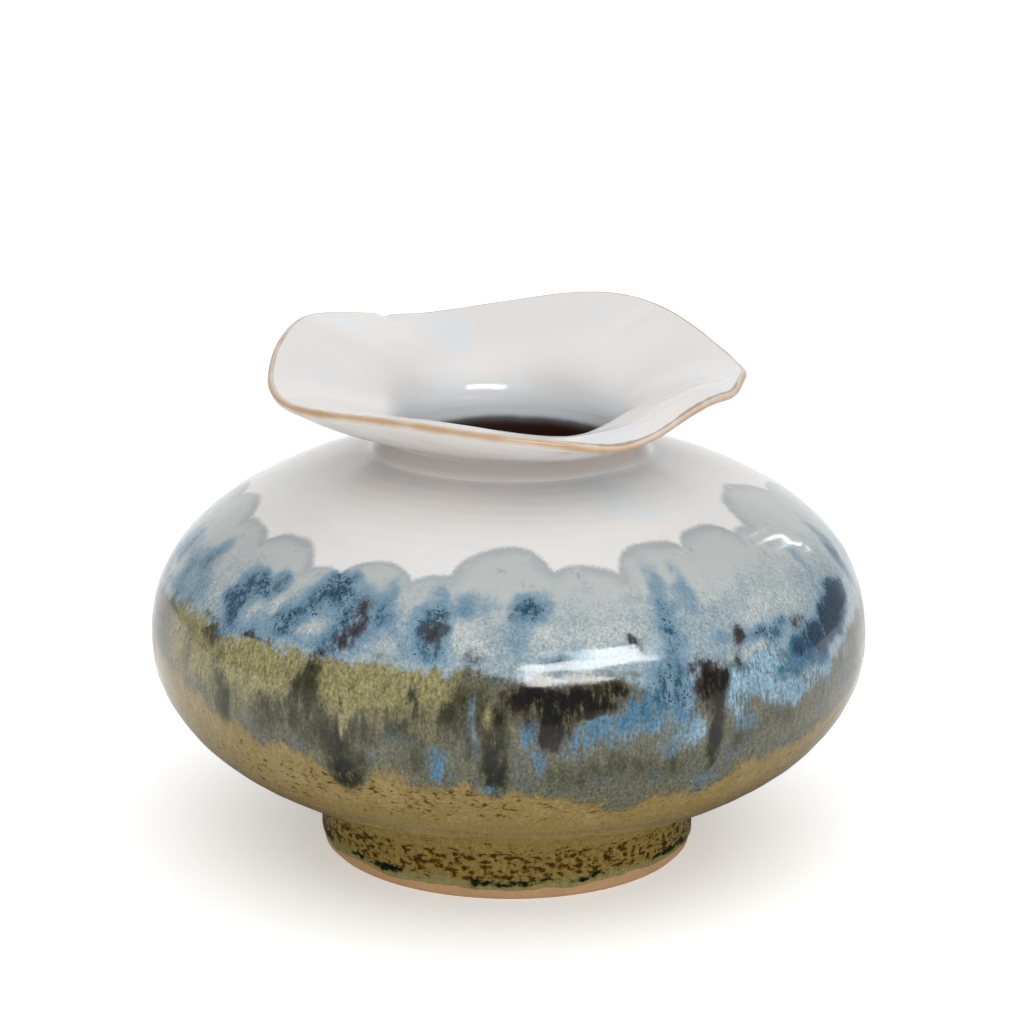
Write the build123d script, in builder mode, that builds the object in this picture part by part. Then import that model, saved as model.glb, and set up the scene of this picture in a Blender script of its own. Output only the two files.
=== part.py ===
from build123d import *

import os
from math import atan2, cos, radians, sin

# A squat stoneware flower vase.  Two thrown bowls meet rim to rim at the belly.  A turned foot
# ring carries them, and a short neck with a wide flared rim, pushed into waves by hand, closes
# the top.  The foot and the neck are luted on, each with a coil of soft clay.  Coats of glaze,
# less than a millimetre thick, lie on the clay.
# The axis is Z, the foot stands on z = 0, and all lengths are in millimetres.

# --- Belly: two thrown bowls ---------------------------------------------------------------------
belly_radius = 99.2  # bare clay, where the two bowls meet
belly_height = 62.8  # height of that joint above the table
shoulder_depth = 53.2  # half height of the upper bowl's curve
shoulder_fullness = 2.2  # exponent of that curve: 2 is an ellipse, more is squarer
underside_depth = 51.2  # half height of the lower bowl's curve
underside_fullness = 2.16
bowl_wall = 5.5
floor_height = 12.4  # the lower bowl's flat underside, inside the foot ring
floor_thickness = 7.0

# --- Foot ring -----------------------------------------------------------------------------------
foot_radius = 52.2
foot_wall = 8.5
foot_edge = 1.2  # chamfer of both edges that touch the table

# --- Neck and flared rim -------------------------------------------------------------------------
neck_radius = 36.0
neck_wall = 4.4
neck_height = 5.8
rim_reach = 64.8  # mean radius of the lip
rim_rise = 17.4  # mean height of the lip above the neck
rim_sag = 1.2  # how far the flare's underside hangs below a straight cone
throat_height = 4.5  # how steeply the bore's wall rises before it leans outwards
throat_lean = 1.2
lip_wall = 2.2

# How the potter pushed the thrown rim out of true: the direction in degrees, and how far the lip
# moved outwards and upwards there.
rim_waves = [
    (0, -1.2, -1.6),
    (12, -0.4, -1.7),
    (30, 1.8, 0.0),
    (60, 4.4, 8.0),
    (90, 2.9, 4.7),
    (120, 2.2, 2.2),
    (150, 1.4, 7.0),
    (180, 0.7, 0.0),
    (210, 2.7, -4.0),
    (240, 1.0, -2.5),
    (270, 1.7, -4.6),
    (300, -2.2, -6.5),
    (330, -4.5, -0.6),
    (348, -2.1, -1.3),
]

# --- Joint coils ---------------------------------------------------------------------------------
foot_coil = 1.6  # radius of the ridge left round the top of the foot
neck_coil = 1.2  # radius of the ridge left round the base of the neck

# --- Glaze coats ---------------------------------------------------------------------------------
glaze = 0.8
lip_glaze = 0.4  # glaze runs thin off an edge
bare_foot = 3.0  # unglazed strip, so that the foot doesn't stick to the kiln shelf
blue_start = 46.0  # height where the blue coat takes over from the ochre one
white_start = 90.0  # height where the white coat takes over from the blue one


def bowl_height(radius, depth, fullness):
    """Height of a bowl's curve at that radius, measured from the belly joint."""
    return depth * (1 - (radius / belly_radius) ** fullness) ** (1 / fullness)


# --- Worked out from the sizes above -------------------------------------------------------------
bore_radius = neck_radius - neck_wall
neck_base = belly_height + bowl_height(neck_radius, shoulder_depth, shoulder_fullness)
neck_top = neck_base + neck_height
foot_top = belly_height - bowl_height(foot_radius, underside_depth, underside_fullness)
floor_top = floor_height + floor_thickness
curve_steps = 9  # spans in a bowl's curve
flare_steps = 4  # spans between the neck and the lip


# --- Half sections of everything that is turned about Z ------------------------------------------
def bowl_points(depth, fullness, inset):
    """Points of a bowl's curve, from the belly joint to the axis; depth is negative downwards."""
    reach = belly_radius - inset
    drop = depth - inset if depth > 0 else depth + inset
    points = []
    for step in range(curve_steps + 1):
        angle = radians(90 * step / curve_steps)
        across = reach * max(cos(angle), 0.0) ** (2 / fullness)
        points.append((across, belly_height + drop * sin(angle) ** (2 / fullness)))
    return points


def belly_section(inset, bottom):
    """The two bowls as if they were solid, set in by inset, with a flat bottom."""
    upper = bowl_points(shoulder_depth, shoulder_fullness, inset)
    lower = bowl_points(-underside_depth, underside_fullness, inset)
    with BuildSketch() as section:
        with BuildLine():
            Spline(upper, tangents=[(0, 1), (-1, 0)])
            Spline(lower, tangents=[(0, -1), (-1, 0)])
            Line(upper[-1], lower[-1])
        make_face()
        with Locations((0, bottom)):
            Rectangle(2 * belly_radius, 2 * neck_top, align=Align.MIN, mode=Mode.INTERSECT)
    return section.sketch_local


def disc_section(radius, low, high):
    """A disc between two heights."""
    with BuildSketch() as section:
        with Locations((0, low)):
            Rectangle(radius, high - low, align=Align.MIN)
    return section.sketch_local


def coil_section(radius, height, size):
    """A coil of clay laid round the vase."""
    with BuildSketch() as section:
        with Locations((radius, height)):
            Circle(size)
    return section.sketch_local


def outside_section(coat):
    """The whole vase below the rim as if it were solid, with a coat of that thickness on it."""
    with BuildSketch() as section:
        add(belly_section(-coat, floor_height))
        add(disc_section(foot_radius + coat, 0, foot_top))
        add(disc_section(neck_radius + coat, belly_height, neck_top))
        add(coil_section(foot_radius, foot_top, foot_coil + coat))
        add(coil_section(neck_radius, neck_base, neck_coil + coat))
    return section.sketch_local


def inside_section(coat):
    """The space for water and stems, below the rim, with a coat of that thickness in it."""
    with BuildSketch() as section:
        add(belly_section(bowl_wall + coat, floor_top + coat))
        add(disc_section(bore_radius - coat, belly_height, neck_top))
    return section.sketch_local


def coat_section(low, high):
    """The glaze on the outside between two heights."""
    with BuildSketch() as section:
        add(outside_section(glaze))
        add(outside_section(0), mode=Mode.SUBTRACT)
        add(disc_section(2 * belly_radius, low, high), mode=Mode.INTERSECT)
    return section.sketch_local


belly = belly_section(0, floor_height)
cavity = inside_section(0)


# --- Flared rim: a wavy shape, lofted through closed curves from the neck to the lip -------------
def flare_point(wave, share, side, coat):
    """A point of the flare: share is 0 at the neck and 1 at the lip.

    Side is -1 beneath the flare and 1 on top of it, and 0 is the very edge of the lip.
    """
    direction, outwards, upwards = wave
    reach = rim_reach + outwards
    rise = rim_rise + upwards
    slope = atan2(rise, reach - neck_radius)
    half_lip = lip_wall / 2 + coat * lip_glaze / glaze
    if side == 0:
        across = reach + half_lip * cos(slope)
        height = rise + half_lip * sin(slope)
    else:
        lip = (reach - side * half_lip * sin(slope), rise + side * half_lip * cos(slope))
        if side < 0:
            start = neck_radius + coat
            turn = ((start + lip[0]) / 2, lip[1] / 2 - 2 * rim_sag - coat / 2)
        else:
            start = bore_radius - coat
            turn = (start + throat_lean, throat_height + coat)
        across = (1 - share) ** 2 * start + 2 * share * (1 - share) * turn[0] + share**2 * lip[0]
        height = 2 * share * (1 - share) * turn[1] + share**2 * lip[1]
    angle = radians(direction)
    return (across * cos(angle), across * sin(angle), neck_top + height)


def flare_ring(share, side, coat):
    """One closed curve round the flare."""
    with BuildLine() as ring:
        Spline([flare_point(wave, share, side, coat) for wave in rim_waves], periodic=True)
    return ring.wire()


def flare_skin(coat):
    """The flare's faces from the neck out to the lip and back, and its outer and inner edges."""
    shares = [step / flare_steps for step in range(flare_steps + 1)]
    beneath = [flare_ring(share, -1, coat) for share in shares]
    above = [flare_ring(share, 1, coat) for share in reversed(shares)]
    edge = [beneath[-1], flare_ring(1, 0, coat), above[0]]
    # A loft in builder mode takes flat sections only, and these rings are wavy.
    faces = [face for rings in (beneath, edge, above) for face in Shell.make_loft(rings).faces()]
    return faces, beneath[0], above[-1]


bare_faces, bare_outer, bare_inner = flare_skin(0)
coated_faces, coated_outer, coated_inner = flare_skin(glaze)
flare_solid = Solid(Shell(bare_faces + [Face(bare_outer, [bare_inner])]))
flare_coat = Solid(
    Shell(
        bare_faces
        + coated_faces
        + [Face(coated_outer, [bare_outer]), Face(bare_inner, [coated_inner])]
    )
)

# --- Clay ----------------------------------------------------------------------------------------
with BuildPart() as foot_ring:
    with BuildSketch(Plane.XZ):
        add(disc_section(foot_radius, 0, foot_top))
        add(disc_section(foot_radius - foot_wall, 0, foot_top), mode=Mode.SUBTRACT)
        add(belly, mode=Mode.SUBTRACT)
    revolve(axis=Axis.Z)
    chamfer(foot_ring.edges().group_by(Axis.Z)[0], foot_edge)

with BuildPart() as lower_bowl:
    with BuildSketch(Plane.XZ):
        add(belly)
        add(cavity, mode=Mode.SUBTRACT)
        add(disc_section(2 * belly_radius, 0, belly_height), mode=Mode.INTERSECT)
    revolve(axis=Axis.Z)

with BuildPart() as upper_bowl:
    with BuildSketch(Plane.XZ):
        add(belly)
        add(cavity, mode=Mode.SUBTRACT)
        add(disc_section(2 * belly_radius, belly_height, neck_base), mode=Mode.INTERSECT)
    revolve(axis=Axis.Z)

with BuildPart() as neck_collar:
    with BuildSketch(Plane.XZ):
        add(disc_section(neck_radius, neck_base, neck_top))
        add(cavity, mode=Mode.SUBTRACT)
    revolve(axis=Axis.Z)

with BuildPart() as flared_rim:
    add(flare_solid)

with BuildPart() as foot_joint_coil:
    with BuildSketch(Plane.XZ):
        add(coil_section(foot_radius, foot_top, foot_coil))
        add(disc_section(foot_radius, 0, belly_height), mode=Mode.SUBTRACT)
        add(belly, mode=Mode.SUBTRACT)
    revolve(axis=Axis.Z)

with BuildPart() as neck_joint_coil:
    with BuildSketch(Plane.XZ):
        add(coil_section(neck_radius, neck_base, neck_coil))
        add(disc_section(neck_radius, belly_height, neck_top), mode=Mode.SUBTRACT)
        add(belly, mode=Mode.SUBTRACT)
    revolve(axis=Axis.Z)

# --- Glaze ---------------------------------------------------------------------------------------
with BuildPart() as ochre_glaze_coat:
    with BuildSketch(Plane.XZ):
        add(coat_section(bare_foot, blue_start))
    revolve(axis=Axis.Z)

with BuildPart() as blue_glaze_coat:
    with BuildSketch(Plane.XZ):
        add(coat_section(blue_start, white_start))
    revolve(axis=Axis.Z)

with BuildPart() as white_glaze_coat:
    with BuildSketch(Plane.XZ):
        add(coat_section(white_start, neck_top))
    revolve(axis=Axis.Z)

with BuildPart() as rim_glaze_coat:
    add(flare_coat)

with BuildPart() as liner_glaze_coat:
    with BuildSketch(Plane.XZ):
        add(cavity)
        add(inside_section(glaze), mode=Mode.SUBTRACT)
    revolve(axis=Axis.Z)

# --- Files ---------------------------------------------------------------------------------------
nodes = {
    "foot_ring": foot_ring,
    "lower_bowl": lower_bowl,
    "upper_bowl": upper_bowl,
    "neck_collar": neck_collar,
    "flared_rim": flared_rim,
    "foot_joint_coil": foot_joint_coil,
    "neck_joint_coil": neck_joint_coil,
    "ochre_glaze_coat": ochre_glaze_coat,
    "blue_glaze_coat": blue_glaze_coat,
    "white_glaze_coat": white_glaze_coat,
    "rim_glaze_coat": rim_glaze_coat,
    "liner_glaze_coat": liner_glaze_coat,
}
os.makedirs("parts", exist_ok=True)
for name, node in nodes.items():
    node.part.label = name
    export_step(node.part, f"parts/{name}.step")
print(f"neck base {neck_base:.2f}, neck top {neck_top:.2f}, foot top {foot_top:.2f}")
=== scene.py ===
# %% [markdown]
# # A stoneware flower vase with a wavy rim and running glazes
# The vase was thrown in clay, glazed with brushes and fired hot enough for the glazes to melt and
# run.  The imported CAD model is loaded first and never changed: it fixes every size and place.  The
# clay that shows is the CAD clay with a better finish, and the glaze is modelled anew around it,
# because glaze is where all the detail is: waves, drips, ridges and colour.

import bpy
import math
import numpy as np
import random
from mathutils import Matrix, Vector, noise


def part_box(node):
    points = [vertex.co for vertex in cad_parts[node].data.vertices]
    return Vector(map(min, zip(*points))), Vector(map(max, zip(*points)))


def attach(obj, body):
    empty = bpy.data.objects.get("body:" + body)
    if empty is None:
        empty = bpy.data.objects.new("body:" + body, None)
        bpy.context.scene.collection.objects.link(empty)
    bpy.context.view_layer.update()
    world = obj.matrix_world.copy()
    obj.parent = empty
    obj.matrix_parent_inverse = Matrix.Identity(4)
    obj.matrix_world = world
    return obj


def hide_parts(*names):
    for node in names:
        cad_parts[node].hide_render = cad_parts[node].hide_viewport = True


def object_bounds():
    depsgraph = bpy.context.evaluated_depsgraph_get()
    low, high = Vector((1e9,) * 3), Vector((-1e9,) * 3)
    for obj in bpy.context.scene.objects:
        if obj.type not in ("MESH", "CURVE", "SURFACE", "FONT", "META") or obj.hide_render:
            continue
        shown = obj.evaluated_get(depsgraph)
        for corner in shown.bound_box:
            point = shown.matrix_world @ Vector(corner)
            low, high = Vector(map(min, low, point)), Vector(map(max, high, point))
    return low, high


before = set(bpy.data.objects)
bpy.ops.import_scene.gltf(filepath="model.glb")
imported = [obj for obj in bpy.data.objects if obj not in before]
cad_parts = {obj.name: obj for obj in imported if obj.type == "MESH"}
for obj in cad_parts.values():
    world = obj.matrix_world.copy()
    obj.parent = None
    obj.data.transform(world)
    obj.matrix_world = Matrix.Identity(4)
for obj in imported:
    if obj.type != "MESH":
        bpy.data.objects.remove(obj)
cad_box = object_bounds()
MM = 0.001
print("CAD nodes:", sorted(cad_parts))

# %% [markdown]
# ## Measuring the frame
# Every size below comes from the CAD nodes, in millimetres because potters think in them.  Two
# fullness numbers are the exponents of the belly's curves, the same as on the clay itself.

# %% Sizes in millimetres, read from the nodes


def top_of(node):
    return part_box(node)[1].z / MM


def bottom_of(node):
    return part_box(node)[0].z / MM


def radius_of(node):
    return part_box(node)[1].x / MM


belly_radius = radius_of("lower_bowl")
belly_joint = top_of("lower_bowl")
neck_base = bottom_of("neck_collar")
neck_top = top_of("neck_collar")
neck_radius = radius_of("neck_collar")
foot_top = top_of("foot_ring")
foot_radius = radius_of("foot_ring")
glaze_start = bottom_of("ochre_glaze_coat")
coat = radius_of("blue_glaze_coat") - belly_radius
shoulder_fullness = 2.2
underside_fullness = 2.16
foot_coil = radius_of("foot_joint_coil") - foot_radius
print(f"belly {belly_radius:.2f}, neck {neck_radius:.2f} from {neck_base:.2f} to {neck_top:.2f}")
print(f"foot {foot_radius:.2f} up to {foot_top:.2f}, glaze {coat:.2f} thick")

# %% [markdown]
# ## The camera
# The vase is seen from the front and a little above, from under a metre away, with a long lens.
# The aim is worked out from the vase itself: a point on its axis, just over half way up, sits a
# little below the middle of the frame, and the camera leans by about half a degree.

# %% Camera
camera_distance = 850.0
camera_height_angle = math.radians(16.6)
aim_share = 0.476  # of the vase's height
aim_height = aim_share * cad_box[1].z / MM
lens_mm = 105.9
sensor_mm = 36.0
aim_up = math.radians(1.674)
aim_aside = math.radians(0.041)
camera_lean = math.radians(0.59)

bpy.ops.object.select_all(action="DESELECT")
bpy.ops.object.camera_add(
    location=(
        0,
        -camera_distance * math.cos(camera_height_angle) * MM,
        (aim_height + camera_distance * math.sin(camera_height_angle)) * MM,
    ),
    rotation=(math.radians(90) - camera_height_angle + aim_up, 0, -aim_aside),
)
camera = bpy.context.object
camera.name = "front_camera"
camera.data.lens = lens_mm
camera.data.sensor_width = sensor_mm
camera.rotation_euler.rotate_axis("Z", camera_lean)
bpy.context.scene.camera = camera
print(f"camera {camera_distance:.0f} mm from the vase, lens {lens_mm} mm")

# %% [markdown]
# ## One helper for every node
# The world, the floor and all the glazes are drawn with shader nodes.  By hand each one is added,
# set and wired in the editor; in code that is three lines a time, so one function does all three
# for any kind of node.


# %% Add a node
def add(tree, kind, inputs=None, **settings):
    """Adds a node, sets its settings, and sets or links its inputs."""
    node = tree.nodes.new("ShaderNode" + kind)
    for key, value in settings.items():
        setattr(node, key, value)
    for key, value in (inputs or {}).items():
        if isinstance(value, bpy.types.NodeSocket):
            tree.links.new(value, node.inputs[key])
        else:
            node.inputs[key].default_value = value
    return node


print("node helper ready, for example add(tree, 'TexNoise', {'Scale': 3.0})")

# %% [markdown]
# ## Floor and light
# A glossy glaze mirrors whatever stands round it, so its highlights and its even light are made
# apart.  One box on the right at the front shows as the broad window on the belly, and a strip
# behind shows as the thin bright line on the shoulder; both are only mirrored.  Three suns behind
# silk give soft light from all round, and are not mirrored.  The white room behind fills the sides
# with a pale edge.  The floor is a sheet lit a little from beneath, which keeps shadows faint.

# %% Floor
floor_width = 30.0  # metres, so that its far edge is out of sight
card_width = 6.0
bpy.ops.object.select_all(action="DESELECT")
bpy.ops.mesh.primitive_plane_add(size=floor_width)
floor = bpy.context.object
floor.name = "floor"
floor.visible_glossy = False

# A card that only shows in reflections, so that the belly mirrors a floor with a soft shadow.
bpy.ops.mesh.primitive_plane_add(size=card_width, location=(0, 0, 0.4 * MM))
card = bpy.context.object
card.name = "reflected_floor"
card.visible_camera = False
card.visible_diffuse = False
card.visible_shadow = False
print(f"floor {floor_width:.0f} m wide, card of {card_width:.0f} m that only reflections see")


# %% Lights that only show in the glaze
def aimed(aside, up):
    """The direction that many degrees to the right of the front and above level."""
    return Vector(
        (
            math.sin(math.radians(aside)) * math.cos(math.radians(up)),
            -math.cos(math.radians(aside)) * math.cos(math.radians(up)),
            math.sin(math.radians(up)),
        )
    )


def soft_box(name, aside, up, away, width, height, radiance, lean):
    """A bright panel that faces the vase and shows in the glaze, but hardly lights it."""
    place = Vector((0, 0, 0.07)) + aimed(aside, up) * away
    bpy.ops.object.light_add(type="AREA", location=place)
    light = bpy.context.object
    light.name = name
    light.data.shape = "RECTANGLE"
    light.data.size = width
    light.data.size_y = height
    light.data.energy = radiance * math.pi * width * height
    light.rotation_euler = aimed(aside, up).to_track_quat("Z", "Y").to_euler()
    light.rotation_euler.rotate_axis("Z", math.radians(lean))
    light.visible_diffuse = False
    return light


bpy.ops.object.select_all(action="DESELECT")
soft_box("window_box", 26, 34, away=1.6, width=1.1, height=0.36, radiance=14, lean=7)
back_strip = soft_box(
    "back_strip", 140, 25, away=1.8, width=0.018, height=0.42, radiance=34, lean=0
)


# %% Lights that only light
def silk_sun(name, aside, up, strength):
    """Even light through silk: it lights the vase and the floor but shows in no reflection."""
    bpy.ops.object.light_add(type="SUN", location=aimed(aside, up) * 3)
    sun = bpy.context.object
    sun.name = name
    sun.data.energy = strength
    sun.data.angle = math.radians(100)
    sun.rotation_euler = aimed(aside, up).to_track_quat("Z", "Y").to_euler()
    sun.visible_glossy = False


silk_sun("key_from_the_right", 35, 45, 1.15)
silk_sun("fill_from_the_front", -15, 16, 1.0)
silk_sun("light_from_above", 0, 82, 0.95)
print(len([item for item in bpy.data.lights if item.type == "SUN"]), "suns behind silk")

# %% The room, white behind the vase and darker at its sides and where the viewer stands
world = bpy.data.worlds.new("white_room")
bpy.context.scene.world = world
world.use_nodes = True
room = world.node_tree
background = room.nodes["Background"]
background.inputs["Color"].default_value = (1.0, 1.0, 1.0, 1.0)
backwards = add(room, "SeparateXYZ", {0: add(room, "TexCoord").outputs["Generated"]}).outputs["Y"]
fade = add(
    room,
    "MapRange",
    {"Value": backwards, "From Min": 0.66, "From Max": 0.97, "To Min": 0.32, "To Max": 1.0},
    interpolation_type="SMOOTHSTEP",
).outputs[0]
room.links.new(fade, background.inputs["Strength"])
bpy.context.scene.view_settings.view_transform = "Standard"
print("world:", world.name, "with", len(room.nodes), "nodes")

# %% [markdown]
# ## Outlines
# A thrown pot is a curve turned about an axis.  Each outline here is a list of points, radius and
# height, in millimetres.  The glaze follows the clay's own curves, one coat further out, so the
# same functions draw both: the clay side with no coat and the outside with one.


# %% Points of the belly
def bowl_depth(fullness, radius, height):
    """Half height of a bowl's curve that passes through that radius and height."""
    share = (1 - (radius / belly_radius) ** fullness) ** (1 / fullness)
    return abs(height - belly_joint) / share


shoulder_depth = bowl_depth(shoulder_fullness, neck_radius, neck_base)
underside_depth = bowl_depth(underside_fullness, foot_radius, foot_top)
print(f"half heights: shoulder {shoulder_depth:.2f}, underside {underside_depth:.2f}")


# %% Curves of the belly and of a coil
def belly_curve(depth, fullness, thick, sign, end_radius):
    """Points from the belly joint towards the axis, as far as end_radius."""
    points = []
    steps = 400
    for step in range(steps):
        angle = math.radians(90 * step / steps)
        radius = (belly_radius + thick) * math.cos(angle) ** (2 / fullness)
        if radius < end_radius:
            break
        rise = (depth + thick) * math.sin(angle) ** (2 / fullness)
        points.append((radius, belly_joint + sign * rise))
    return points


def coil_arc(radius, height, size, start, end, steps=8):
    """Points round the outside of a coil of clay, between two angles in degrees."""
    points = []
    for step in range(steps + 1):
        angle = math.radians(start + (end - start) * step / steps)
        points.append((radius + size * math.cos(angle), height + size * math.sin(angle)))
    return points


print(f"the coil at the foot stands out {foot_coil:.2f} mm")


# %% Outline of the vase
def body_outline(thick):
    """The vase's outside from the foot to the neck, with a coat that thick."""
    under = belly_curve(underside_depth, underside_fullness, thick, -1, foot_radius + thick + 1.9)
    over = belly_curve(shoulder_depth, shoulder_fullness, thick, 1, neck_radius + thick + 3.0)
    foot_bead = coil_arc(foot_radius, foot_top, foot_coil + thick, -62, -14)
    return (
        [(foot_radius + thick, glaze_start + thick), (foot_radius + thick, 10.0)]
        + foot_bead
        + under[::-1]
        + over[1:]
        + [
            (neck_radius + thick + 1.6, neck_base + thick + 0.5),
            (neck_radius + thick + 0.7, neck_base + thick + 1.4),
            (neck_radius + thick + 0.15, neck_base + thick + 2.8),
            (neck_radius + thick, neck_top),
        ]
    )


print(f"outline of the glaze: {len(body_outline(coat))} points")


# %% Even spacing along a line
def length_along(line):
    """How far each point of a line is from its start, along the line."""
    return np.concatenate([[0], np.cumsum(np.hypot(*np.diff(line, axis=0).T))])


def spaced(points, gap):
    """The same line with its points evenly spaced, about gap apart."""
    line = np.array(points)
    along = length_along(line)
    count = max(2, round(along[-1] / gap) + 1)
    wanted = np.linspace(0, along[-1], count)
    return np.stack([np.interp(wanted, along, line[:, 0]), np.interp(wanted, along, line[:, 1])], 1)


print(f"that outline is {length_along(np.array(body_outline(coat)))[-1]:.1f} mm long")


# %% [markdown]
# ## Throwing a shape
# On the wheel a profile is turned through a full circle.  Blender's spin does the same: a chain of
# points is extruded, one point at a time, closed into a loop and spun.  A closed loop that never
# touches the axis gives a closed skin with no poles and no seam to mend but the last column.


# %% Spin a closed loop
def throw(name, loop, around):
    """A closed mesh: the loop of (radius, height) points in millimetres, turned about Z.

    A line that starts and ends on the axis is already closed; any other is joined end to start.
    """
    bpy.ops.object.select_all(action="DESELECT")
    bpy.ops.mesh.primitive_plane_add(size=MM)
    piece = bpy.context.object
    piece.name = name
    piece.data.name = name
    bpy.ops.object.mode_set(mode="EDIT")
    bpy.ops.mesh.merge(type="CENTER")
    here = Vector((loop[0][0] * MM, 0, loop[0][1] * MM))
    bpy.ops.transform.translate(value=here)
    for radius, height in loop[1:]:
        there = Vector((radius * MM, 0, height * MM))
        bpy.ops.mesh.extrude_region_move(TRANSFORM_OT_translate={"value": there - here})
        here = there
    bpy.ops.object.mode_set(mode="OBJECT")
    for vertex in piece.data.vertices:
        vertex.select = vertex.index in (0, len(loop) - 1)
    bpy.ops.object.mode_set(mode="EDIT")
    if loop[0][0] > 0:
        bpy.ops.mesh.edge_face_add()
    bpy.ops.mesh.select_all(action="SELECT")
    bpy.ops.mesh.spin(steps=around, angle=2 * math.pi, center=(0, 0, 0), axis=(0, 0, 1))
    bpy.ops.mesh.select_all(action="SELECT")
    bpy.ops.mesh.remove_doubles(threshold=0.01 * MM)
    bpy.ops.mesh.normals_make_consistent(inside=False)
    bpy.ops.object.mode_set(mode="OBJECT")
    bpy.ops.object.shade_smooth_by_angle(angle=math.radians(40))
    print(f"{name}: {len(piece.data.vertices)} points, {len(piece.data.polygons)} faces")
    return piece


# %% Points of a piece, and the numbers stored on them
def read_points(piece):
    """The piece's points in millimetres, as rows of x, y and z."""
    flat = np.empty(len(piece.data.vertices) * 3, np.float32)
    piece.data.vertices.foreach_get("co", flat)
    return flat.reshape(-1, 3).astype(float) / MM


def write_points(piece, points):
    piece.data.vertices.foreach_set("co", (points * MM).astype(np.float32).ravel())
    piece.data.update()


def store(piece, name, values):
    """Keeps one number for each point, for the material to read."""
    kind = "FLOAT" if values.ndim == 1 else "FLOAT_VECTOR"
    layer = piece.data.attributes.new(name, kind, "POINT")
    key = "value" if values.ndim == 1 else "vector"
    layer.data.foreach_set(key, values.astype(np.float32).ravel())


print(f"the floor has {len(read_points(floor))} points")


# %% Noise and slopes
def grain_of(points, size, seed, stretch=1.0):
    """Smooth random numbers from -1 to 1 that change over about size millimetres."""
    scale = Vector((1 / size, 1 / size, 1 / (size * stretch)))
    shift = Vector((seed * 7.31, seed * 3.17, seed * 5.77))
    return np.array([noise.noise(Vector(point) * scale + shift) for point in points])


def step_up(values, low, high):
    """0 below low, 1 above high and a smooth slope between."""
    share = np.clip((values - low) / (high - low), 0, 1)
    return share * share * (3 - 2 * share)


print("slope in quarters:", step_up(np.linspace(0, 1, 5), 0, 1))


# %% [markdown]
# ## The glaze on the body
# Three coats lie on the outside: ochre at the bottom, a blue one over the belly and a white one on
# the shoulder.  When they melt they become a single skin that varies from place to place, so it is
# modelled as one skin: finely divided outside, where waves and drips show, and coarse inside.

# %% Spin the body glaze
outside_gap = 1.05  # millimetres between rows of points, about as far apart as the columns
inside_gap = 8.0
skin_depth = 0.25  # how far the inside of the skin stands off the clay
body_columns = 504
outer = spaced(body_outline(coat), outside_gap)
inner = spaced(body_outline(skin_depth), inside_gap)[::-1]
body = throw("body_glaze", np.concatenate([outer, inner]).tolist(), body_columns)

points = read_points(body)
round_angle = np.degrees(np.arctan2(points[:, 0], -points[:, 1]))  # 0 in front, 90 on the right
height = points[:, 2].copy()
outline_length = length_along(outer)
up_the_side = np.interp(height, outer[:, 1], outline_length)
from_axis = np.hypot(points[:, 0], points[:, 1])
outer_radius = np.interp(height, outer[:, 1], outer[:, 0])
skin = step_up(from_axis - outer_radius, -0.5, -0.2)
print(f"outline {outline_length[-1]:.1f} mm long in {len(outer)} rows, {len(inner)} rows inside")

# %% [markdown]
# ## Where each glaze lies
# The potter loaded a brush and pressed it side by side round the shoulder, which left rounded dabs.
# Under them the blue ran and pooled.  The same can be said in numbers: each spot is a direction in
# degrees, a height, a width in degrees, a height in millimetres and a strength.  Noise then pushes
# the edges about, as the kiln did.

# %% Dabs of the brush
dabs = [  # direction, top, width
    (-92, 102, 17), (-78, 103.5, 18), (-64, 101.5, 17), (-48, 101.8, 15), (-36, 97.5, 12),
    (-25, 100.4, 13), (-12, 98.8, 13), (-1, 104, 16), (14, 100.6, 15), (30, 103.6, 15),
    (45, 104.3, 15), (57, 102, 13), (72, 107.5, 22), (90, 103, 17),
]
print(f"{len(dabs)} dabs in front, {dabs[0][2]} to {max(dab[2] for dab in dabs)} degrees wide")

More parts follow.
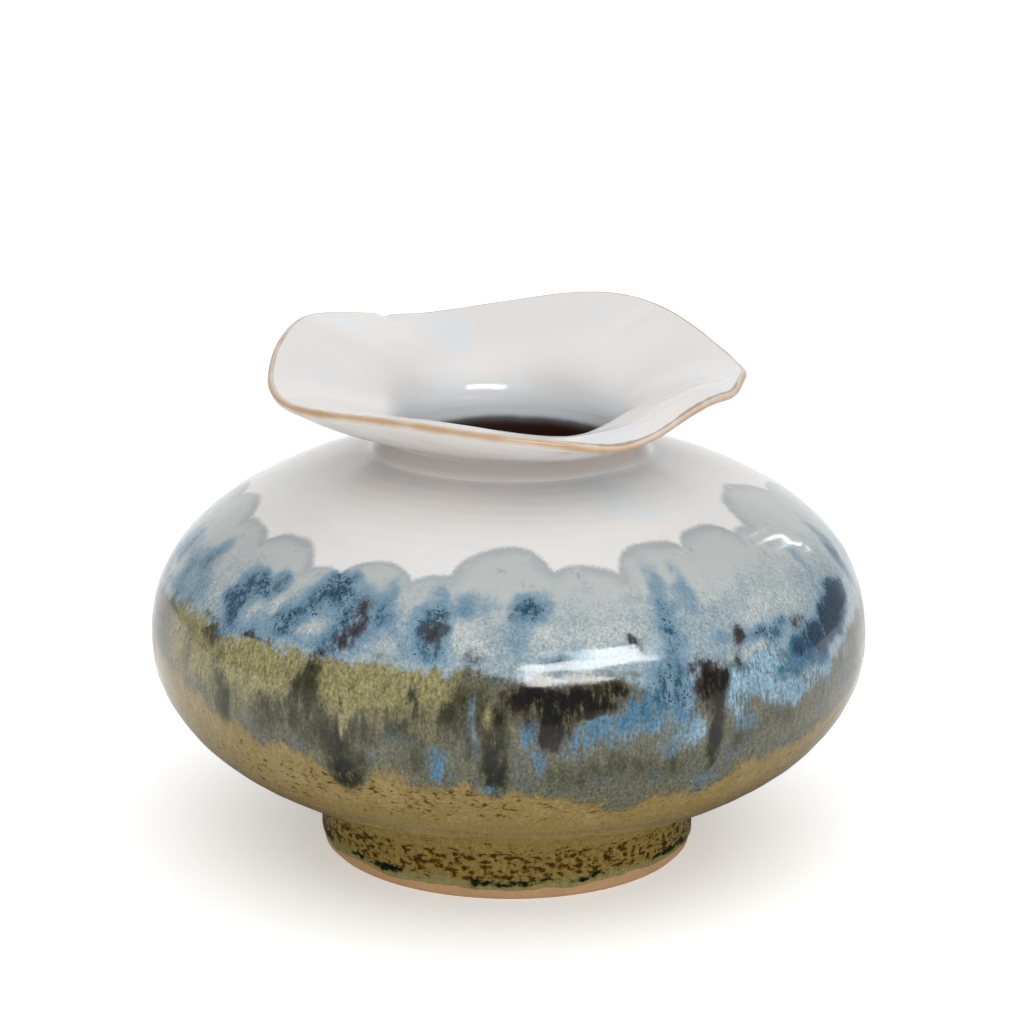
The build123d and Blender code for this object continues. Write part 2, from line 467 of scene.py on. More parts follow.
# %% Blue and pale spots: direction, height, width, tall, strength
blue_spots = [
    (-29.3, 94.5, 4, 7, 0.8), (-26.5, 87.5, 8, 16, 0.9), (-29, 82, 6, 6, 0.6),
    (-21, 91, 4.5, 12, 0.7), (-17.5, 86, 5, 10, 0.35), (-12, 89, 6, 13, 1),
    (-12.5, 83.5, 7, 5, 0.6), (-7, 93, 4, 6, 0.6), (-3.5, 92.5, 5, 5, 0.35),
    (3.8, 92.6, 6, 7, 0.9), (1.5, 86, 4, 9, 0.5), (26.5, 87, 5, 22, 0.75), (31.5, 93, 4, 12, 0.45),
    (23.5, 75, 7, 12, 0.8), (9.5, 82, 8, 4, 0.5), (-50.5, 85, 5.5, 17, 0.95),
    (-47, 90.5, 8, 6, 1), (-43, 93.5, 5, 5, 0.7), (-53, 88.5, 3, 7, 0.7), (-37.5, 86, 6, 9, 1),
    (-34, 91, 6, 8, 0.8), (-31.5, 94.5, 5, 7, 0.9), (-41.5, 83.5, 8, 6, 0.45),
    # The four spots from -72 to -62 degrees, on the far left, are blue glaze and also painted shade
    # on that side.
    (-44, 81.5, 8, 4, 0.5), (-33.5, 82, 7, 4, 0.5), (-66, 92, 6, 9, 0.6),
    (-72, 87.5, 10, 10, 0.6), (-62, 86, 7, 8, 0.4), (-68, 82, 12, 6, 0.5),
    (34.5, 82.5, 4, 5, 0.5), (44, 81.5, 9, 5, 0.9), (48, 83, 5, 4, 0.5), (46, 77, 5, 6, 0.5),
    (50.5, 75.5, 6, 8, 1.2), (56, 76, 8, 9, 1.8), (61.5, 78, 8, 9, 2.3),
    (66, 80.5, 8, 9, 2.5), (69.5, 83, 6, 6, 2.0), (47.5, 71.5, 7, 5, 0.9),
    (54, 71.5, 9, 4, 0.9), (63, 90, 4, 16, 0.3), (41, 69, 9, 10, 0.35), (50, 66, 14, 8, 0.4),
    (60, 68, 10, 6, 0.3), (39, 62, 5, 7, 0.5), (21.5, 69, 9, 12, 0.8), (27, 68, 5, 14, 0.8),
    (14, 64, 12, 9, 0.7), (9, 60, 6, 6, 0.4), (3.5, 64.5, 4, 8, 0.8), (5, 56, 2, 12, 0.6),
    (-2.5, 47.5, 4.5, 5, 0.45), (-10.5, 55, 5, 12, 0.55), (-16, 61, 6, 8, 0.3),
    (32, 46, 7, 9, 0.45), (24, 58, 8, 8, 0.4),
]
pale_spots = [
    (-46, 87.2, 3.5, 6, 0.7), (-41, 88.5, 4, 6, 0.8), (-33.5, 85, 5, 6, 0.8),
    (-19.5, 83, 4, 5, 0.6), (-7, 88, 7, 8, 0.9), (-5.5, 84.5, 6, 5, 0.8), (5, 86.5, 7, 8, 0.6),
    (-57, 88, 7, 14, 0.5), (24, 70, 10, 10, 0.4), (14, 66, 8, 6, 0.4), (20, 64, 14, 7, 0.4),
    (28, 61.5, 5, 10, 0.6), (42.5, 74.5, 6, 9, 1), (36.5, 73, 3, 8, 0.5), (44, 68, 5, 8, 0.8),
    (49, 77.5, 6, 4, 0.6), (-5, 66, 2.5, 20, 0.35), (15, 87, 20, 8, 0.7), (48, 87, 22, 8, 0.7),
    (42, 73, 9, 12, 1), (48, 68, 11, 12, 0.8), (56, 69, 9, 9, 0.7), (36, 68, 5, 15, 0.7),
    (64, 70, 8, 7, 0.4),
]
print(f"{len(blue_spots)} blue and {len(pale_spots)} pale spots in front")

# %% Dark, olive and shaded spots
iron_spots = [
    (-25.8, 84, 4, 9, 1.0), (-24.6, 90, 3.5, 7, 0.9), (-11.5, 88, 3.5, 9, 0.8),
    # These three faint spots on the far left are dark glaze and also painted shade on that side.
    (-67, 91, 6, 9, 0.3), (-74, 88, 6, 8, 0.3), (-61, 87, 5, 7, 0.25),
    (1, 91.2, 3, 3, 0.5), (-43.5, 92.5, 4, 4, 0.35), (38.5, 82.5, 5, 5, 0.8),
    (37.5, 77, 3, 8, 0.6), (52.5, 81.3, 5, 4.5, 0.8),
    (8, 73, 17, 8, 1.3), (6.5, 68, 6, 13, 1.4), (6, 64, 2.8, 8, 1.2), (13, 70.5, 7, 6, 1.1),
    (2, 70, 5, 11, 0.5), (15.5, 74, 5, 6, 1), (31.2, 73, 6, 14, 1.2), (28.5, 75, 3, 8, 0.8),
    (34, 75, 2.5, 9, 0.8), (32, 66, 3, 10, 1), (-55, 81, 5, 3, 0.8), (-43, 80.3, 5, 2.5, 0.9),
    (-39.5, 79.5, 3, 3, 0.5), (-29, 80.5, 4, 3, 0.6), (-20, 81.5, 3, 2.5, 0.6),
    (-5.5, 82, 4, 5, 0.7), (19.8, 84, 2.5, 4, 0.8), (8, 81, 5, 3, 0.5), (0.5, 79.5, 4, 3, 0.4),
    (-3, 79, 2, 4, 0.5),
]
olive_spots = [(-24.5, 66, 1.2, 13, 1.0), (32, 79, 2, 6, 0.5), (-2.5, 69, 1.5, 8, 0.7)]
shade_spots = [
    (-59, 72, 4, 16, 0.5), (-53, 77, 5, 7, 0.7), (-49.5, 70, 3, 12, 0.7), (-48, 62, 4.5, 12, 0.8),
    (-47.5, 57.5, 4, 6, 0.6), (-30.7, 75.5, 3.5, 9, 1), (-31.5, 69, 8, 9, 0.8),
    (-34, 62, 14, 12, 0.6), (-27.5, 60, 10, 10, 0.55), (-40, 59, 5, 9, 0.5),
    (-25.5, 58, 5, 12, 0.9), (-24.7, 50, 6.5, 13, 1.5), (-14, 72, 1.5, 12, 0.5),
    (-18, 75, 2, 6, 0.3), (-8, 66, 4, 16, 0.75),
    (-7, 74, 3, 4, 0.4), (-2.2, 57, 3.8, 24, 1.5), (-1.5, 68, 4, 8, 1.1), (-16, 64, 3, 8, 0.6),
    (-13, 57, 6, 14, 0.6), (-6, 60, 3, 14, 0.5), (8, 52, 8, 12, 0.5), (16, 55, 14, 12, 0.6),
    (25, 53, 10, 10, 0.5), (36, 58, 6, 12, 0.5), (44, 60, 14, 10, 0.5), (31.8, 58, 2.6, 20, 1.6),
    (-12, 68, 14, 9, 0.45), (-20, 63, 10, 10, 0.6), (-38, 66, 8, 6, 0.4), (-5, 73, 5, 10, 0.5),
]
print(f"in front: {len(iron_spots)} dark, {len(olive_spots)} olive, {len(shade_spots)} shaded")

# %% Edges: the lowest reach of the blue, and where the run glaze starts; direction, height
ochre_edge = [
    (-75, 64), (-66, 63), (-60, 62), (-55, 60), (-50, 57), (-47.5, 55.5), (-44, 56.5),
    (-41.5, 52.5), (-38, 53.5), (-34, 54.5), (-30, 52.5), (-27.5, 47), (-24.5, 44), (-21.5, 47),
    (-20.5, 52), (-17, 52.5), (-14, 49), (-10, 47.7), (-6, 51.3), (-4.5, 46.5), (-2, 45.8),
    (0.5, 48.5), (6, 45.8), (12, 43.7), (16, 40.5), (19.5, 40), (22, 42.3), (26, 43.8),
    (28, 44), (32, 42.3), (36, 45), (38, 49), (45, 49), (50, 50), (60, 53), (75, 57),
]
run_edge = [
    (-75, 79), (-66, 80), (-60, 80), (-55, 80), (-45, 79), (-35, 79.5), (-30, 80), (-20, 80),
    (-10, 79.5), (-3, 79), (0, 78), (6, 79.5), (16, 79), (20, 76), (23, 70), (27, 66), (30, 78),
    (35, 76), (38, 77), (44, 78), (50, 77), (56, 72), (60, 70), (66, 73), (75, 76),
]
print(f"{len(ochre_edge)} and {len(run_edge)} points on the two edges in front")

# %% [markdown]
# ## The back
# The back follows no plan, only the same brush and habits, so its spots are left to chance.  The
# chance is seeded, so the vase comes out the same each time.

# %% Spots on the back
chance = random.Random(11)
back_start, back_end = 106.0, 258.0  # degrees between which dabs are left to chance
direction = back_start
while direction < back_end:
    dabs.append((direction, 98 + chance.random() * 6, 13 + chance.random() * 5))
    direction += 12 + chance.random() * 5
chance_spots = [  # list, degrees aside, then the least and most height, width, tall and strength
    (blue_spots, 0, (82, 93), (4, 8), (6, 14), (0.5, 1.2)),
    (pale_spots, 4, (82, 90), (4, 7), (5, 8), (0.5, 0.9)),
    (iron_spots, 2, (70, 82), (3, 6), (5, 12), (0.4, 1.1)),
    (shade_spots, 1, (52, 66), (3, 8), (10, 20), (0.5, 1.1)),
]
for direction in range(78, 284, 7):
    spot = direction + chance.uniform(-3, 3)
    for spots, aside, *ranges in chance_spots:
        spots.append((spot + aside, *[chance.uniform(*between) for between in ranges]))
    ochre_edge.append((spot, chance.uniform(43, 56)))
    run_edge.append((spot, chance.uniform(74, 81)))
print(f"with the back: {len(dabs)} dabs, {len(blue_spots)} blue and {len(iron_spots)} dark spots")

# %% [markdown]
# ## From spots to numbers on every point
# A shader could draw the spots, but it would need hundreds of nodes.  It is lighter to work out
# here, once for each point of the mesh, how strongly each glaze covers it, and to store that as an
# attribute.  Noise first pushes every point aside a little, so no outline stays a clean oval.


# %% Cover of spots, edges and dabs
def turned(directions, middle):
    """Directions measured from the middle one, from -180 to 180."""
    return (directions - middle + 180) % 360 - 180


def spots_field(spots, directions, heights):
    """How strongly the spots cover each point; spots that overlap pile up softly."""
    clear = np.ones(len(heights))
    extra = np.zeros(len(heights))
    for middle, level, width, tall, strength in spots:
        away = np.hypot(turned(directions, middle) / (width / 2), (heights - level) / (tall / 2))
        cover = strength * (1 - step_up(away, 0.1, 1.65))
        clear *= 1 - np.clip(cover, 0, 0.97)
        extra = np.maximum(extra, cover)
    return np.maximum(1 - clear, extra)


def edge_field(edge, directions, heights):
    """Millimetres below the edge, a line of directions and heights that closes on itself."""
    edge = sorted((direction % 360, level) for direction, level in edge)
    ring = [edge[-1][0] - 360] + [direction for direction, _ in edge] + [edge[0][0] + 360]
    level = [edge[-1][1]] + [level for _, level in edge] + [edge[0][1]]
    return np.interp(directions % 360, ring, level) - heights


def dab_field(directions, heights, radii):
    """Millimetres inside the nearest dab's outline; negative outside all of them."""
    cap = 8.5  # how tall the rounded top of a dab is
    spread = 1.3  # the brush splays out past the width it is listed with
    roundness = 2.4
    furthest = 9.0
    inside = np.full(len(heights), -furthest)
    for middle, top, width in dabs:
        half = np.radians(width / 2 * spread) * radii
        across = np.radians(turned(directions, middle)) * radii
        up = np.clip(heights - (top - cap), 0, None)
        reach = (np.abs(across / half) ** roundness + (up / cap) ** roundness) ** (1 / roundness)
        inside = np.maximum(inside, (1 - reach) * np.minimum(half, cap))
    return np.clip(inside, -furthest, furthest)


one_spot = [(0, 80, 8, 8, 1)]
print("cover 3 mm from a spot's middle:", spots_field(one_spot, np.zeros(1), np.array([83.0])))

# %% Masks on the points
wide = grain_of(points, 9, 1)
wide_up = grain_of(points, 9, 2)
near = grain_of(points, 3.2, 3)
near_up = grain_of(points, 3.2, 4)
streaky = grain_of(points, 2.6, 5, stretch=5)
seen_angle = round_angle + 1.3 * wide + 0.75 * near
seen_height = height + 1.5 * wide_up + 1.0 * near_up
dab_inside = dab_field(round_angle + 0.5 * wide, height + 0.5 * wide_up, from_axis)
blue_cover = spots_field(blue_spots, seen_angle, seen_height)
pale_cover = spots_field(pale_spots, seen_angle, seen_height)
iron_cover = spots_field(iron_spots, seen_angle, seen_height)
olive_cover = spots_field(olive_spots, seen_angle, seen_height)
shade_cover = spots_field(shade_spots, seen_angle, seen_height)
below_run = edge_field(run_edge, seen_angle, seen_height + 1.2 * streaky + 1.3 * near)
below_blue = edge_field(
    ochre_edge, round_angle + 0.4 * wide, height + 0.5 * wide_up + 0.5 * near_up
)
print(f"blue covers {100 * blue_cover[skin > 0].mean():.0f}% of the outside")

# %% Olive side, flecks and the dark line where the glaze stopped above the foot
near_spot = np.exp(-((turned(round_angle, -18) / 38) ** 2))
left_side = 1 - step_up(turned(round_angle, 0), -12, -2)
left_side *= step_up(turned(round_angle, -66), -8, 4)
left_side *= 0.35 + 0.65 * step_up(seen_height, 60 - 4 * near_spot, 70)
flecks = 0.34 * step_up(height, 33, 40) * (1 - step_up(height, 47, 53)) * (0.3 + 0.7 * near_spot)
flecks += 0.55 * (1 - step_up(height, 15, 19)) * step_up(height, 4, 7)
tide = 1 - np.abs(height - 5.4 - 0.9 * wide_up) / 1.9 - 0.55 * step_up(wide, -0.05, 0.35)
print(f"flecks reach {flecks.max():.2f}, the line above the foot {tide.max():.2f}")

# %% [markdown]
# ## Giving the skin its thickness
# Running glaze is thick where it gathers: in the dabs, in the black pools and most of all in the
# drips.  The thrown clay under it is never quite round either: faint rings from the fingers, slow
# dents from the ribs, and a shoulder that sits a millimetre higher on one side.

# %% How high the glaze stands
normals = np.empty(len(points) * 3, np.float32)
body.data.vertices.foreach_get("normal", normals)
normals = normals.reshape(-1, 3).astype(float)
slow = grain_of(points, 34, 6)
rings = np.sin(2 * math.pi * (up_the_side + round_angle / 72) / 5.0) * 0.03
raised = (
    0.30 * slow
    + rings
    + 0.16 * grain_of(points, 15, 10, stretch=0.7)
    + 0.04 * grain_of(points, 7, 7)
    + 0.10 * step_up(dab_inside, -0.6, 0.8)
    + 0.16 * np.clip(iron_cover, 0, 1)
    + 0.22 * np.clip(shade_cover - 0.6, 0, 0.6)
    + 0.14 * step_up(below_blue, 0.8, -0.8)
)
ends = step_up(height, glaze_start + 2, glaze_start + 9)
ends *= 1 - step_up(height, neck_base - 2, neck_base + 3)
raised *= ends * skin
print(f"glaze raised by up to {raised.max():.2f} mm")

# %% Move the points: the glaze's height, its ragged lower edge and the uneven shoulder
points += normals * raised[:, None]
ragged = 0.9 * grain_of(points, 9, 8) + 0.35 * grain_of(points, 2.5, 9)
points[:, 2] += ragged * (1 - step_up(height, glaze_start + 0.5, glaze_start + 6))
shoulder = step_up(height, belly_joint - 5, belly_joint + 35)
shoulder *= 1 - step_up(height, neck_base - 12, neck_base - 1)
points[:, 2] += points[:, 0] / belly_radius * shoulder
write_points(body, points)
print(f"lower edge ragged by {np.ptp(ragged):.1f} mm")

# %% Store the masks, hang the skin on the root and hide the coats it replaces
fields = {
    "flow": np.stack([points[:, 0], points[:, 1], up_the_side], 1),
    "level": height,
    "dab": dab_inside,
    "blue": blue_cover,
    "pale": pale_cover,
    "iron": iron_cover,
    "olive": olive_cover,
    "shade": shade_cover,
    "run": below_run,
    "ochre": below_blue,
    "leftward": left_side,
    "flecks": flecks,
    "tide": tide,
}
for name, values in fields.items():
    store(body, name, values)
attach(body, "root")
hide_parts("ochre_glaze_coat", "blue_glaze_coat", "white_glaze_coat")
only_body = bpy.data.collections.new("lit_by_the_strip")
only_body.objects.link(body)
back_strip.light_linking.receiver_collection = only_body
print(f"{len(fields)} fields stored on {body.name}")

# %% [markdown]
# ## The flared rim
# The rim was thrown as an even flare and then pushed about while wet: lifted at the back, pulled
# down in front and turned over at the front right.  It is made the same way: an even flare is
# spun, then every point is moved to where the waves carry its direction.

# %% Waves of the rim
collar_wall = 4.4
lip_half = 1.35  # half the thickness of the lip
bore_radius = neck_radius - collar_wall
rim_reach = 64.8
rim_rise = 17.4
rim_sag = 1.2
rim_waves = [  # direction from the right towards the back, outwards, upwards
    (0, -1.2, -1.6), (12, -0.4, -1.7), (30, 1.8, 0), (60, 4.4, 8), (90, 2.9, 4.7),
    (120, 2.2, 2.2), (150, 1.4, 7), (180, 0.7, 0), (210, 2.7, -4), (240, 1, -2.5),
    (270, 1.7, -4.6), (300, -2.2, -6.5), (330, -4.5, -0.6), (348, -2.1, -1.3),
]
wave_at, waves_out, waves_up = zip(*rim_waves)
print(f"{len(rim_waves)} waves, up to {max(waves_out)} mm outwards and {max(waves_up)} mm upwards")


# %% A smooth closed curve through the waves
def round_curve(knots, values, at):
    """A smooth closed curve through the values at the knots, in degrees, read at each of at."""
    knots = np.array(knots, float)
    values = np.array(values, float)
    gap = np.diff(np.append(knots, knots[0] + 360))
    climb = np.diff(np.append(values, values[0])) / gap
    count = len(knots)
    table = np.zeros((count, count))
    for row in range(count):
        table[row, row - 1] += gap[row - 1]
        table[row, row] += 2 * (gap[row - 1] + gap[row])
        table[row, (row + 1) % count] += gap[row]
    bend = np.linalg.solve(table, 6 * (climb - np.roll(climb, 1)))
    at = at % 360
    low = np.searchsorted(knots, at, side="right") - 1
    high = (low + 1) % count
    span = gap[low]
    gone = at - knots[low]
    left = span - gone
    return (
        (bend[low] * left**3 + bend[high] * gone**3) / (6 * span)
        + (values[low] / span - bend[low] * span / 6) * left
        + (values[high] / span - bend[high] * span / 6) * gone
    )


def near_direction(directions, middle, spread):
    """1 in the middle direction, falling smoothly to nearly 0 at the spread."""
    return np.exp(-((turned(directions, middle) / spread) ** 2) * 2)


print("rise between two waves:", round_curve(wave_at, waves_up, np.array([75.0])))


# %% The flare's curve
def flare(side, share, directions):
    """Radius and height above the neck of the flare: side -1 is beneath, 1 on top.

    Share runs from 0 at the neck to 1 at the lip.
    """
    outwards = round_curve(wave_at, waves_out, directions)
    outwards = outwards + 0.35 * near_direction(directions, 3, 8)
    outwards = outwards - 0.4 * near_direction(directions, -8, 9)
    upwards = round_curve(wave_at, waves_up, directions) - 0.8 * near_direction(directions, 142, 18)
    reach = rim_reach + outwards
    rise = rim_rise + upwards
    slope = np.arctan2(rise, reach - neck_radius)
    lip_across = reach - side * lip_half * np.sin(slope)
    lip_up = rise + side * lip_half * np.cos(slope)
    rest = 1 - share
    if side < 0:  # beneath, the flare bends once
        start = neck_radius + coat
        turn_across, turn_up = (start + lip_across) / 2, lip_up / 2 - 2 * rim_sag - coat / 2
        across = rest**2 * start + 2 * share * rest * turn_across + share**2 * lip_across
        up = 2 * share * rest * turn_up + share**2 * lip_up
    else:  # on top it climbs steeply out of the throat before it opens, so it bends twice
        start = bore_radius - coat
        near_bend, far_bend = (start + 0.6, 0.42 * rise), (start + 5.2, 0.74 * rise)
        soon, late = 3 * share * rest**2, 3 * share**2 * rest
        across = rest**3 * start + soon * near_bend[0] + late * far_bend[0] + share**3 * lip_across
        up = soon * near_bend[1] + late * far_bend[1] + share**3 * lip_up
    return across, up, slope, reach, rise


def rim_point(row, directions):
    """Radius and height above the neck of one row of the rim: beneath, round the lip or on top."""
    side, share, angle = row
    across, up, slope, reach, rise = flare(side or 1, share, directions)
    if side == 0:
        across = reach + lip_half * np.cos(slope + math.radians(angle))
        up = rise + lip_half * np.sin(slope + math.radians(angle))
    return across, up


print("lip in front:", rim_point((0, 1.0, 0.0), np.array([270.0])))

# %% Spin an even flare
even_direction = np.array(100.0)
rim_columns = 576
crowding = 1.15  # rows lie closer together near the lip
rows = [(-1, 1 - (1 - step / 32) ** crowding, 0.0) for step in range(33)]
rows += [(0, 1.0, angle) for angle in (-67, -45, -22, 0, 22, 45, 67)]
rows += [(1, 1 - (step / 40) ** crowding, 0.0) for step in range(41)]
even = []
for row in rows:
    across, up = rim_point(row, even_direction)
    even.append((float(across), neck_top + float(up)))
inside_edge, outside_edge = bore_radius - coat, neck_radius + coat
even += [(inside_edge + (outside_edge - inside_edge) * step / 4, neck_top) for step in (1, 2, 3)]
rim = throw("flared_rim_glazed", even, rim_columns)
print(f"{len(rows)} rows round the flare, {rim_columns} columns")

# %% Push the flare into waves
points = read_points(rim)
bearing = np.degrees(np.arctan2(points[:, 1], points[:, 0]))  # 0 on the right, 90 at the back
from_axis = np.hypot(points[:, 0], points[:, 1])
even_rows = np.array(even)
row_of = np.array(
    [
        int(np.argmin((even_rows[:, 0] - radius) ** 2 + (even_rows[:, 1] - level) ** 2))
        for radius, level in zip(from_axis, points[:, 2])
    ]
)
across = from_axis.copy()
up = points[:, 2] - neck_top
for number, row in enumerate(rows):
    mine = row_of == number
    across[mine], up[mine] = rim_point(row, bearing[mine])
lip = row_of == rows.index((0, 1.0, 0))
print(f"lip between {up[lip].min():.1f} and {up[lip].max():.1f} mm above the neck")

# %% [markdown]
# ## The lip and the marks of fingers
# Where the wet lip was pulled down it rolled over, and it was nipped once at the back and creased
# once inside the raised corner.  These are small moves of the same points.  A bump in the material
# could fake the crease but not the change in outline, which is what the eye notices first.

# %% Roll the lip, fold and crease
# The lip turned over: its last few millimetres bend down, most of all at the front right.
_, _, slope, reach, rise = flare(1, 1.0, bearing)
from_lip = np.clip(reach + lip_half - across, 0, None)
rolled = step_up(turned(bearing, 318), -42, -20) * (1 - step_up(turned(bearing, 318), 22, 38))
bend = rolled * (1 - step_up(from_lip, 0, 6.5))
up -= 3.2 * bend
up += 1.3 * rolled * (1 - step_up(from_lip, 3, 20))

# A fold where the back edge was nipped, and a soft crease inside the raised corner.
fold = near_direction(bearing, 124, 2.6) * (1 - step_up(from_lip, 0, 12))
up -= 0.9 * fold
crease = near_direction(bearing, 52, 3.5) * step_up(from_lip, 2, 8)
crease *= 1 - step_up(from_lip, 12, 24)
up -= 0.5 * crease
print(f"lip rolled down by up to {(3.2 * bend).max():.1f} mm")

# %% Unevenness left by the hands
slow = grain_of(points, 22, 21)
fine = grain_of(points, 6, 22)
loose = step_up(up, 2, 8)
up += (0.30 * slow + 0.06 * fine) * loose
across += 0.25 * grain_of(points, 15, 23) * loose
points[:, 0] = across * np.cos(np.radians(bearing))
points[:, 1] = across * np.sin(np.radians(bearing))
points[:, 2] = neck_top + up
write_points(rim, points)
print(f"rim from {points[:, 2].min():.1f} to {points[:, 2].max():.1f} mm high")

# %% Store how far each point is from the lip, hang the rim on the root and hide the nodes it replaces
side_of = np.array([rows[row][0] if row < len(rows) else -1 for row in row_of])
arc_of = np.array([rows[row][2] if row < len(rows) else 0 for row in row_of])
round_lip = np.where(side_of == 0, lip_half * np.radians(arc_of), side_of * (1.5 + 1.1 * from_lip))
store(rim, "round_lip", round_lip + 1.3 * rolled)
on_top = side_of == 1
store(rim, "above_neck", np.where(on_top, up, 40.0))
round_by = np.radians(bearing)
pattern_radius = 100.0
pattern = [pattern_radius * np.cos(round_by), pattern_radius * np.sin(round_by), from_lip]
store(rim, "flow", np.stack(pattern, 1))
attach(rim, "root")
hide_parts("flared_rim", "rim_glaze_coat")
print(f"{rim.name} has {len(rows)} rows and {rim_columns} columns")

# %% [markdown]
# ## The liner
# Glaze was poured in, swirled round and poured out, so a thin even coat covers the whole inside
# down to the floor.  It is dark, and only its top shows, deep in the throat.

# %% Spin the liner
bowl_wall = belly_radius - radius_of("liner_glaze_coat")
floor_top = bottom_of("liner_glaze_coat")


def liner_outline(inset):
    """The inside of the vase from the middle of the floor to the top of the bore."""
    off_clay = inset - bowl_wall
    bottom = floor_top + off_clay
    bore = bore_radius - off_clay
    under = belly_curve(underside_depth, underside_fullness, -inset, -1, 0)
    under = [point for point in under if point[1] > bottom]
    over = belly_curve(shoulder_depth, shoulder_fullness, -inset, 1, bore)
    return [(0, bottom)] + under[::-1] + over[1:] + [(bore, neck_top)]


seen_side = spaced(liner_outline(bowl_wall + coat), 3.0)
clay_side = spaced(liner_outline(bowl_wall), 6.0)[::-1]
liner_columns = 192
liner = throw("liner_glaze", np.concatenate([seen_side, clay_side]).tolist(), liner_columns)
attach(liner, "root")
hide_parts("liner_glaze_coat")
print(f"liner {bowl_wall:.1f} mm inside the belly, floor at {floor_top:.1f} mm")

# %% [markdown]
# ## Mixing materials
# A fired glaze is coloured glass over clay.  Each material starts from a plain colour and paints
# layers over it: a field stored on the piece says how thick that glaze lies, noise breaks up its
# edge, and the layer shows wherever the sum passes a limit.  Thin glaze takes one colour and thick
# glaze another, which is how real glazes shade.


# %% Colours
def shade(code):
    """A colour written as hex, turned into linear light."""
    parts = [int(code[place : place + 2], 16) / 255 for place in (1, 3, 5)]
    linear = [
        part / 12.92 if part <= 0.04045 else ((part + 0.055) / 1.055) ** 2.4 for part in parts
    ]
    return (*linear, 1.0)


def pigment(code):
    """The colour of a glaze that shows as that hex through the veil of its own gloss."""
    veil = 0.03  # what the gloss adds to every colour by mirroring the room
    darkest = 0.002
    light = 0.88  # the lights add up to a little more than one, so colours are a little less
    return (*[max(part - veil, darkest) * light for part in shade(code)[:3]], 1.0)


print("white glaze:", [round(part, 3) for part in pigment("#e9e6e3")])

# %% Starting a material, its fields and its grains
def start_material(name, **settings):
    """A new material with constant settings on its shader, its node tree and the shader."""
    material = bpy.data.materials.new(name)
    material.use_nodes = True
    tree = material.node_tree
    shader = tree.nodes["Principled BSDF"]
    for key, value in settings.items():
        shader.inputs[key.replace("_", " ")].default_value = value
    return material, tree, shader


def tree_value(tree, field):
    """The socket of a field stored on the piece, or the field itself if it is a socket."""
    if isinstance(field, str):
        return add(tree, "Attribute", attribute_name=field).outputs["Fac"]
    return field


def grains_for(tree, vector, sizes):
    """Noise from -0.5 to 0.5 for each name: size in mm, stretch up the side, detail, harshness."""
    grains = {}
    for name, (size, stretch, detail, harsh) in sizes.items():
        placed = add(
            tree, "Mapping", {"Vector": vector, "Scale": (1 / size, 1 / size, 1 / (size * stretch))}
        ).outputs[0]
        speckle = add(
            tree, "TexNoise", {"Vector": placed, "Scale": 1.0, "Detail": detail, "Roughness": harsh}
        ).outputs[0]
        grains[name] = add(tree, "Math", {0: speckle, 1: 0.5}, operation="SUBTRACT").outputs[0]
    return grains


spot_fields = ("blue", "pale", "iron", "olive", "shade", "leftward")
print("fields made of spots:", spot_fields)


# %% Laying one glaze over another
def cover_of(tree, field, low, high, moves, grains):
    """How much of a layer shows and how thick it lies, from its field and its grains."""
    spotted = isinstance(field, str) and field in spot_fields
    value = 1.0 if spotted else tree_value(tree, field)
    for grain, amount in moves.items():
        value = add(
            tree, "Math", {0: grains[grain], 1: amount, 2: value}, operation="MULTIPLY_ADD"
        ).outputs[0]
    if spotted:  # noise scales a spot, so that it can't make specks where there is none
        value = add(
            tree, "Math", {0: tree_value(tree, field), 1: value}, operation="MULTIPLY"
        ).outputs[0]
    cover = add(
        tree,
        "MapRange",
        {"Value": value, "From Min": low, "From Max": high},
        interpolation_type="SMOOTHSTEP",
    ).outputs[0]
    depth = add(
        tree, "MapRange", {"Value": value, "From Min": low, "From Max": 1.4 * high - 0.4 * low}
    ).outputs[0]
    return cover, depth


def mixed(tree, amount, under, over, **settings):
    """One colour laid over another; a colour is a socket or a hex code."""
    under, over = (pigment(part) if isinstance(part, str) else part for part in (under, over))
    return add(
        tree, "Mix", {0: amount, 6: under, 7: over}, data_type="RGBA", **settings
    ).outputs[2]


def paint(tree, base, layers, grains):
    """Lays layers of glaze over a base colour and returns the last colour.

    A layer is: field, low, high, thin colour, thick colour, and how far each grain moves it.
    """
    colour = base
    for field, low, high, thin, thick, moves in layers:
        cover, depth = cover_of(tree, field, low, high, moves, grains)
        colour = mixed(tree, cover, colour, mixed(tree, depth, thin, thick))
    return colour


def gloss_between(tree, shader, value, low, high, smooth, dull):
    """Roughness that goes from smooth to dull as the value goes from low to high."""
    ends = {"From Min": low, "From Max": high, "To Min": smooth, "To Max": dull}
    rough = add(tree, "MapRange", {"Value": value, **ends}).outputs[0]
    tree.links.new(rough, shader.inputs["Roughness"])


def dimpled(tree, shader, height, deep):
    """Relief as deep as that, in millimetres, too fine to be worth moving points for."""
    bump = add(tree, "Bump", {"Height": height, "Strength": 1.0, "Distance": deep * MM})
    tree.links.new(bump.outputs[0], shader.inputs["Normal"])


print("a layer shows fully at its high mark, and is at its thickest a little past it")

# %% [markdown]
# ## The running glazes
# Stoneware glaze is glass coloured with metal oxides, brushed on as powder and water and melted at
# about 1250 degrees.  From the bottom up the eye meets ochre with brown flecks, a smoky grey where
# the blue thinned out, olive on the left, black pools rich in iron, blue and pale mottling, grey
# dabs with darker edges and a warm white on the shoulder.  An image could be painted on, but
# layers of noise keep the same grain at every distance and on every side.

